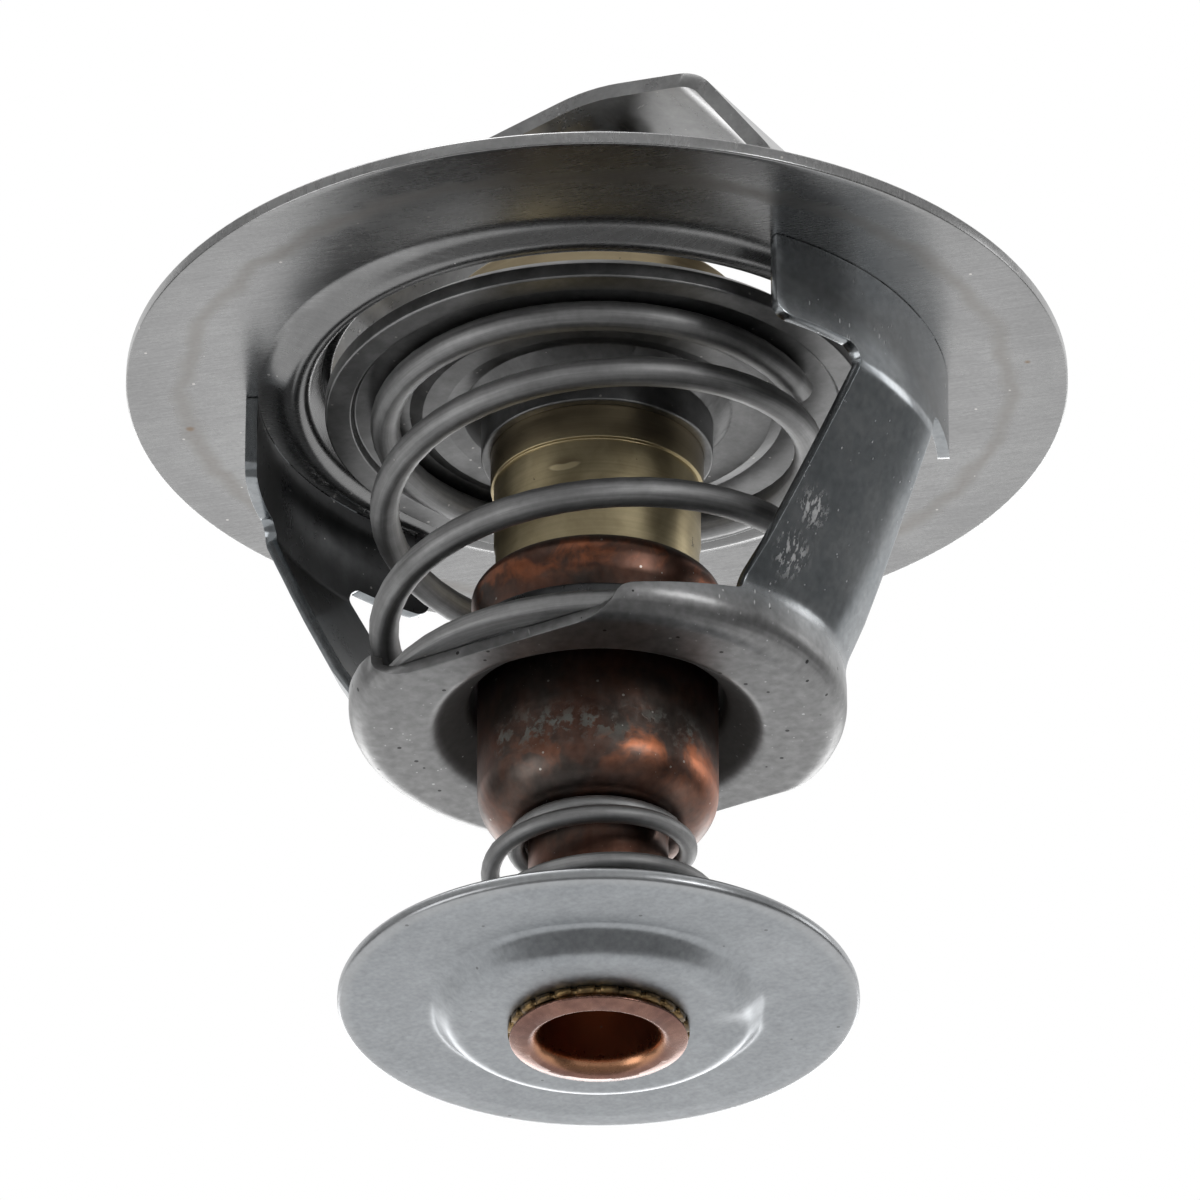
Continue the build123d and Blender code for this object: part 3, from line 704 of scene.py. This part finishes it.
# %% Finishes for the nodes that stay as they are
for name, material in (("piston", piston_steel), ("boot", rubber),
                       ("wiper_washer", washer_white), ("wax_charge", wax)):
    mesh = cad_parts[name].data
    mesh.materials.clear()
    mesh.materials.append(material)
    print(name, "keeps its CAD mesh and gets", material.name)

# %% [markdown]
# ## The cage
# The cage is one sheet, pressed round a punch: a ring with a funnel in its middle, two legs
# and two curved walls. Each quarter of it is the same. A line through the middle of the
# sheet is spun about the axis, which gives rows of points all round. Then each row is drawn
# in to the width that the sheet has at that height, the quarter is mirrored, and a solidify
# gives the sheet its thickness. The funnel keeps its full circle.

# %% A line with rounded corners
bend_steps = 8


def rounded(corners, step=0.25):
    """Points along a line through corners of (across, height, radius), in millimetres."""
    places = [Vector(corner[:2]) for corner in corners]
    line = [places[0]]
    for before, here, after, corner in zip(places, places[1:], places[2:], corners[1:]):
        back, ahead = (before - here).normalized(), (after - here).normalized()
        turn = (-back).angle(ahead)
        cut = corner[2] * tan(turn / 2)
        middle = here + (back + ahead).normalized() * (corner[2] / cos(turn / 2))
        first, last = here + back * cut, here + ahead * cut
        for index in range(bend_steps + 1):
            ray = (first - middle).lerp(last - middle, index / bend_steps).normalized()
            line.append(middle + ray * corner[2])
    line.append(places[-1])
    run = [line[0]]
    for before, here in zip(line, line[1:]):
        count = max(1, round((here - before).length / step))
        run += [before.lerp(here, (index + 1) / count) for index in range(count)]
    return run


print("A bend is drawn with", bend_steps, "steps.")

# %% The cage's sizes, in millimetres
sheet = 0.85
ring_bottom, ring_middle, ring_top = -27.8, -27.375, -26.95
ring_half_width, strap_half_width = 14.0, 6.1
neck_radius, neck_top, funnel_reach = 9.475, -21.35, 13.0
heel_radius = 17.075
wall_radius, wall_low, wall_high, wall_angle = 24.525, -6.4, -0.05, 29.3
sheet_line = rounded([(neck_radius, neck_top, 0), (neck_radius, -25.6, 0.5),
                      (11.9, ring_middle, 0.9), (heel_radius, ring_middle, 1.6),
                      (heel_radius, -23.5, 3.0), (18.6, -20.8, 3.0), (wall_radius, -7.8, 2.0),
                      (wall_radius, wall_high, 0)])
side_line = rounded([(ring_half_width, -30.0, 0), (ring_half_width, ring_bottom + 2.05, 0.8),
                     (7.1, ring_bottom + 3.4, 0.6), (4.9, wall_low - 0.01, 1.2),
                     (6.3, wall_low, 0)], step=0.1)
print("The sheet's line has", len(sheet_line), "points and its outline", len(side_line))

# %% Drawing the rows in
def width_at(height):
    if height >= wall_low:
        return strap_half_width
    for low, high in zip(side_line, side_line[1:]):
        if low.y <= height <= high.y and high.y > low.y:
            return low.x + (high.x - low.x) * (height - low.y) / (high.y - low.y)
    return ring_half_width


def reach(radius, height):
    if radius < funnel_reach:
        return radians(90)
    return asin(min(1.0, width_at(height) / radius))


def corner_cut(height, corner=1.2):
    above = min(corner, max(0.0, height - wall_low))
    return corner - sqrt(corner ** 2 - (corner - above) ** 2)


print("The sheet is", round(2 * width_at(-15), 2), "mm wide in the middle of a leg.")

# %% Spinning a line
def around(angle):
    return Vector((cos(radians(angle)), sin(radians(angle)), 0))


def rail(shape, places):
    verts = [shape.verts.new(place) for place in places]
    return verts + [shape.edges.new(pair) for pair in zip(verts, verts[1:])]


def line_rail(shape, line):
    return rail(shape, [(point.x * mm, 0, point.y * mm) for point in line])


def spin(shape, parts, angle, steps, merge=False):
    return bmesh.ops.spin(shape, geom=parts, cent=(0, 0, 0), axis=(0, 0, 1), angle=angle,
                          steps=steps, use_merge=merge, use_normal_flip=False,
                          use_duplicate=False)["geom_last"]


def spun_sheet(shape, line, columns, first, last):
    """Spin a line by a quarter turn and draw each row in to between two azimuths."""
    known = set(shape.verts)
    spin(shape, line_rail(shape, line), radians(90), columns)
    for vert in set(shape.verts) - known:
        radius, height = vert.co.xy.length / mm, vert.co.z / mm
        share = atan2(vert.co.y, vert.co.x) / radians(90)
        start, end = first(radius, height), last(radius, height)
        angle = start + share * (end - start)
        vert.co = around(degrees(angle)) * radius * mm + up * height * mm


print("Rows can be spun and drawn in.")

# %% One quarter of the cage, then the other three
leg_columns, wall_columns, seam = 30, 10, 0.004 * mm
shape = bmesh.new()
rows = [point for low, high in zip(sheet_line, sheet_line[1:])
        for point in (low, low.lerp(high, 0.5))] + [sheet_line[-1]]
spun_sheet(shape, rows, leg_columns, lambda radius, height: 0.0, reach)
wall_line = [Vector((wall_radius, wall_low))] + [point for point in rows if point.y >= wall_low]
spun_sheet(shape, wall_line, wall_columns,
           lambda radius, height: asin(strap_half_width / wall_radius),
           lambda radius, height: radians(wall_angle) - corner_cut(height) / wall_radius)
bmesh.ops.remove_doubles(shape, verts=shape.verts, dist=seam)
for axis in ("Y", "X"):
    bmesh.ops.mirror(shape, geom=shape.verts[:] + shape.edges[:] + shape.faces[:],
                     matrix=Matrix.Identity(4), merge_dist=seam, axis=axis)
print("The cage's sheet has", len(shape.faces), "faces.")

# %% [markdown]
# A pressed sheet is never quite true. Slow noise moves the points a few hundredths of a
# millimetre, which bends the reflections, and two corners of the ring are pulled out of
# place, as the press tore them.

# %% Unevenness and the torn corners
def drift(place, waves):
    return sum(noise.noise(place * scale) * depth for scale, depth in waves)


def nudge(verts, middle, size, shift):
    for vert in verts:
        share = max(0.0, 1 - (vert.co - Vector(middle) * mm).length / (size * mm))
        vert.co += Vector(shift) * mm * share * share * (3 - 2 * share)


cage_waves = [(170, 0.05), (420, 0.015)]
torn_corners = [((-10.4, -14.0, -25.9), 1.1, (0.35, 0.1, 0.45)),
                ((10.6, 14.0, -25.9), 0.9, (-0.2, 0.2, 0.2))]
for vert in shape.verts:
    vert.co += vert.co.xy.to_3d().normalized() * drift(vert.co, cage_waves) * mm
for middle, size, pull in torn_corners:
    nudge(shape.verts, middle, size, pull)
bmesh.ops.recalc_face_normals(shape, faces=shape.faces)
print("The sheet is uneven and", len(torn_corners), "of its corners are torn.")

# %% [markdown]
# Four tabs of the walls are folded over the feet of the bridge, two on each side. They are
# narrow strips, spun in the same way.

# %% The tabs that are folded over the bridge's feet
tab_height, tab_bend, tab_end = 2.575, 0.6, 27.1
tab_offset, tab_half, tab_columns = 10, radians(3.5), 8
tab_line = rounded([(wall_radius, wall_high, 0), (wall_radius, tab_height, tab_bend),
                    (tab_end, tab_height, 0)])
for side in (0, 180):
    for middle in (side - tab_offset, side + tab_offset):
        spun_sheet(shape, tab_line, tab_columns,
                   lambda radius, height: radians(middle) - tab_half,
                   lambda radius, height: radians(middle) + tab_half)
print("With its tabs the sheet has", len(shape.faces), "faces.")

# %% Thickness and soft edges
def sheet_piece(piece, shape, node, body, materials, thickness, edge=0.1):
    mesh = bpy.data.meshes.new(piece)
    shape.to_mesh(mesh)
    shape.free()
    for material in materials:
        mesh.materials.append(material)
    mesh.shade_smooth()
    made = add_object(piece, mesh)
    thick = made.modifiers.new("thickness", "SOLIDIFY")
    thick.thickness = thickness * mm
    thick.offset = 0
    thick.use_even_offset = True
    thick.material_offset = len(materials) - 1
    soft = made.modifiers.new("soft_edges", "BEVEL")
    soft.width = edge * mm
    soft.segments = bevel_steps
    soft.limit_method = "ANGLE"
    soft.angle_limit = radians(50)
    made.modifiers.new("even_normals", "WEIGHTED_NORMAL").keep_sharp = True
    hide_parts(node)
    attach(made, body)
    print(piece, "starts from", len(mesh.polygons), "faces.")


sheet_piece("cage_pressing", shape, "cage", "frame", [cage_steel, cage_inside_painted_shade], sheet)

# %% [markdown]
# ## The flange and the bypass disc
# Both are round pressings of one sheet, so a line through the middle of the sheet is spun
# right round and thickened. The flange is flat as far in as the cage's walls. Then comes a
# round bead, and the sheet turns up to the seat of the valve. The bypass disc is very
# slightly domed, with a low boss that was dented once.

# %% The flange
round_steps, round_sheet = 180, 1.0
disc_waves = [(90, 0.03), (300, 0.008)]


def spun_round(line):
    shape = bmesh.new()
    spin(shape, line_rail(shape, line), radians(360), round_steps, merge=True)
    for vert in shape.verts:
        vert.co.z += drift(vert.co, disc_waves) * mm
    bmesh.ops.recalc_face_normals(shape, faces=shape.faces)
    return shape


rim_middle, bead_middle, seat_middle = 0.5, -1.2, 1.7
flange_line = rounded([(33.45, rim_middle, 0), (22.95, rim_middle, 2.6), (21.2, bead_middle, 0.7),
                       (19.95, seat_middle, 0.7), (18.85, seat_middle, 0)], step=0.6)
sheet_piece("flange_pressing", spun_round(flange_line), "flange", "frame",
            [flange_steel], round_sheet, edge=0.15)

# %% The bypass disc
edge_middle, disc_middle, boss_middle = -48.96, -49.1, -50.8
dents = [((8.6, 5.2, -50.2), 3.0, (0, 0, 0.35)), ((-3.0, -9.5, -50.4), 3.5, (0, 0, 0.12))]
bypass_line = rounded([(18.1, edge_middle, 0), (16.0, disc_middle, 6.0), (11.5, disc_middle, 1.6),
                       (9.9, boss_middle, 1.5), (4.97, boss_middle, 0)], step=0.5)
shape = spun_round(bypass_line)
for middle, size, push in dents:
    nudge(shape.verts, middle, size, push)
sheet_piece("bypass_pressing", shape, "bypass_disc", "bypass", [zinc],
            round_sheet, edge=0.3)

# %% [markdown]
# ## Springs
# A spring is one round wire that is wound step by step. Each step spins the wire's last
# ring of points by a few degrees and shifts it along and out, so a coil can close up, climb
# or widen. The wire's points also keep where they lie along and across the wire, because
# the die's lines follow the wire round.

# %% Winding a wire
coil_step, wire_sides = 7.5, 20


def wind(wire_radius, start_angle, stages):
    shape = bmesh.new()
    path = shape.verts.layers.float_vector.new("wire_path")
    radius, height = stages[0][1:]
    angle, along, middles = start_angle, 0.0, {}

    def note(verts):
        middle = around(angle) * radius + up * height
        for vert in verts:
            off = vert.co - middle
            vert[path] = (along, off.dot(around(angle)), off.z)
            middles[vert] = middle

    place = (Matrix.Rotation(radians(start_angle), 4, "Z") @ Matrix.Translation((radius, 0, height))
             @ Matrix.Rotation(radians(90), 4, "X"))
    bmesh.ops.create_circle(shape, cap_ends=True, segments=wire_sides, radius=wire_radius,
                            matrix=place)
    note(shape.verts)
    edges = list(shape.edges)
    for turns, next_radius, next_height in stages[1:]:
        count = max(1, round(turns * 360 / coil_step))
        grow, climb = (next_radius - radius) / count, (next_height - height) / count
        for _ in range(count):
            made = spin(shape, edges, -radians(turns * 360 / count), 1)
            angle -= turns * 360 / count
            edges = [part for part in made if isinstance(part, bmesh.types.BMEdge)]
            ring = [part for part in made if isinstance(part, bmesh.types.BMVert)]
            bmesh.ops.translate(shape, verts=ring, vec=around(angle) * grow + up * climb)
            radius, height = radius + grow, height + climb
            along += radius * radians(turns * 360 / count)
            note(ring)
    bmesh.ops.contextual_create(shape, geom=edges)
    bmesh.ops.recalc_face_normals(shape, faces=shape.faces)
    return shape, middles


print("A wire has", wire_sides, "sides and a ring of points every", coil_step, "degrees.")

# %% [markdown]
# The points of the wire are moved to the middle of the wire for a moment, and then put
# back where they rest. A ground end keeps no point below the grinding height.

# %% Making a wire into an object
def coil_piece(piece, node, material, wound, grind=None):
    shape, middles = wound
    mesh = bpy.data.meshes.new(piece)
    shape.verts.index_update()
    resting = {vert.index: vert.co.copy() for vert in shape.verts}
    if grind is not None:
        resting = {index: Vector((co.x, co.y, max(co.z, grind))) for index, co in resting.items()}
    line = {vert.index: middle for vert, middle in middles.items()}
    shape.to_mesh(mesh)
    shape.free()
    mesh.materials.append(material)
    mesh.shade_smooth()
    made = add_object(piece, mesh)
    for vertex in mesh.vertices:
        vertex.co = line[vertex.index]
    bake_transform(made)
    for vertex in mesh.vertices:
        vertex.co = resting[vertex.index]
    mesh.update()
    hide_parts(node)
    print(piece, "has", len(mesh.polygons), "faces.")


# %% The main spring
main_wire, main_coil = 1.05 * mm, 15.05 * mm
main_top, main_start = -2.75 * mm, 11.7
main_low = (ring_top + 1.1) * mm
ground_height = (ring_top + 0.05) * mm
main_stages = [(0, main_coil, main_top), (0.72, main_coil, main_top), (2.36, main_coil, main_low),
               (0.30, main_coil, main_low - 0.75 * mm)]
coil_piece("main_coil_spring", "main_spring", wire_steel,
           wind(main_wire, main_start, main_stages),
           grind=ground_height)

# %% The bypass spring
cone_wire, cone_low = 0.65 * mm, -49.6 * mm
small_coil, middle_coil, wide_coil = 5.8 * mm, 7.5 * mm, 8.6 * mm
cup_bottom = -36.1 * mm
cone_top = cup_bottom - 0.7 * mm
cone_stages = [(0, small_coil, cone_top), (0.75, small_coil, cone_top),
               (0.6, middle_coil, cone_top - 2.0 * mm), (2.4, wide_coil, cone_low),
               (0.75, wide_coil, cone_low)]
coil_piece("bypass_cone_spring", "bypass_spring", wire_steel,
           wind(cone_wire, 0, cone_stages))

# %% [markdown]
# ## The studio
# The floor is far below the thermostat. White is what the camera, gloss and glass see of
# the floor and the world. Grey and pale cards stand low, high, in front of and under the
# thermostat. The camera doesn't see them, but they give the metal its darker and lighter
# tones, as a photographer's cards do.

# %% Floor
camera_side = -59.5
floor_height, floor_radius = -0.75, 4.0


def seen_directly(tree):
    rays = put(tree, "LightPath")
    seen = larger(tree, rays.outputs["Is Camera Ray"], rays.outputs["Is Glossy Ray"])
    return larger(tree, seen, rays.outputs["Is Transmission Ray"])


def stage_material(name, colour, shown_white):
    material = bpy.data.materials.new(name)
    material.use_nodes = True
    tree = material.node_tree
    tree.nodes.clear()
    matt = put(tree, "BsdfDiffuse", {"Color": colour}).outputs[0]
    if shown_white:
        white = put(tree, "Emission", {"Color": (1, 1, 1, 1), "Strength": 1.0}).outputs[0]
        matt = put(tree, "MixShader", {0: seen_directly(tree), 1: matt, 2: white}).outputs[0]
    put(tree, "OutputMaterial", {"Surface": matt})
    return material


def stage_piece(name, shape, material):
    mesh = bpy.data.meshes.new(name)
    shape.to_mesh(mesh)
    shape.free()
    mesh.materials.append(material)
    made = add_object(name, mesh)
    return made


floor_shape = bmesh.new()
bmesh.ops.create_circle(floor_shape, cap_ends=True, segments=64, radius=floor_radius,
                        matrix=Matrix.Translation((0, 0, floor_height)))
stage_piece("studio_floor", floor_shape, stage_material("pale_floor", grey(0.8), True))
print("The floor is", -floor_height, "m below the flange.")

# %% Cards
near, far, hole, card_steps = 1.7, 2.2, 0.01, 24
card_foot, card_shoulder, card_top = floor_height + 0.02, 0.45, 2.4
front_edge, front_top, under_height = 1.1, 1.9, floor_height + 0.015


def card(name, line, half_angle, level):
    """Spin a line of (across, height) in metres to both sides of the camera's direction."""
    shape = bmesh.new()
    outward = around(camera_side - half_angle)
    parts = rail(shape, [across * outward + up * height for across, height in line])
    spin(shape, parts, radians(2 * half_angle), card_steps)
    stage_piece(name, shape, stage_material(name, grey(level), False)).visible_camera = False
    print(name, "spans", 2 * half_angle, "degrees.")


card("low_card", [(far, card_foot), (far, card_shoulder)], half_angle=125, level=0.34)
card("high_card", [(far, card_shoulder), (far, card_top)], half_angle=125, level=0.8)
card("front_card", [(front_edge, card_foot), (near, card_foot), (near, front_top)],
     half_angle=50, level=0.8)
card("under_card", [(hole, under_height), (far, under_height)], half_angle=90, level=0.3)

# %% World
world = bpy.data.worlds.new("studio_world")
bpy.context.scene.world = world
world.use_nodes = True
tree = world.node_tree
tree.nodes.clear()
light = put(tree, "Background", {"Color": (1, 1, 1, 1), "Strength": 0.6}).outputs[0]
white = put(tree, "Background", {"Color": (1, 1, 1, 1), "Strength": 1.0}).outputs[0]
mixed = put(tree, "MixShader", {0: seen_directly(tree), 1: light, 2: white}).outputs[0]
put(tree, "OutputWorld", {"Surface": mixed})
print("The world is white to the camera and softer as a light.")

# %% [markdown]
# Five soft boxes light the metal: a low one at the camera's left, two small ones at its
# right, a large one above, and a wide one behind the thermostat, which the camera doesn't
# see. Each points at the thermostat.

# %% Lamps
def softbox(name, place, size, power):
    lamp = bpy.data.lights.new(name, "AREA")
    lamp.shape = "SQUARE"
    lamp.size = size
    lamp.energy = power
    made = add_object(name, lamp)
    made.location = place
    made.rotation_euler = (-Vector(place)).to_track_quat("-Z", "Y").to_euler()
    print(name, "shines from", [round(part, 2) for part in place])
    return made


softbox("low_box", (-0.6, -0.8, -0.35), size=0.6, power=2.4)
softbox("front_box", (1.0, -0.37, 0.1), size=0.25, power=2.0)
softbox("right_box", (0.65, 0.65, 0.3), size=0.3, power=0.7)
softbox("top_box", (-0.2, -0.3, 1.2), size=0.8, power=8.0)
back_place, back_width, back_height = -1.5 * around(camera_side) + up * 0.05, 1.7, 0.6
back_box = softbox("back_box", back_place, size=back_width, power=8.0)
back_box.data.shape = "RECTANGLE"
back_box.data.size_y = back_height
back_box.visible_camera = False

# %% [markdown]
# The camera stands far off with a long lens, below the flange, as in the photograph. Its
# place, aim and slight roll were fitted to the flange, the coils and the bypass disc there.
# Standard colour keeps the greys as they are lit.

# %% Camera
camera_place, looked_at = (0.43292, -0.73495, -0.51160), Vector((0.00015, 0.00009, -0.01704))
camera_roll = radians(-0.156)
camera = add_object("camera", bpy.data.cameras.new("camera"))
camera.data.lens = 420
camera.data.sensor_width = 36
camera.data.clip_start = 0.01
camera.location = camera_place
aim = looked_at - camera.location
facing = aim.to_track_quat("-Z", "Y").to_matrix()
camera.rotation_euler = (facing @ Matrix.Rotation(camera_roll, 3, "Z")).to_euler()
bpy.context.scene.camera = camera
bpy.context.scene.view_settings.view_transform = "Standard"
print("The camera is", round(aim.length, 3), "m away.")

# %% Sizes
def corners(bounds):
    return [[round(value, 6) for value in corner] for corner in bounds]
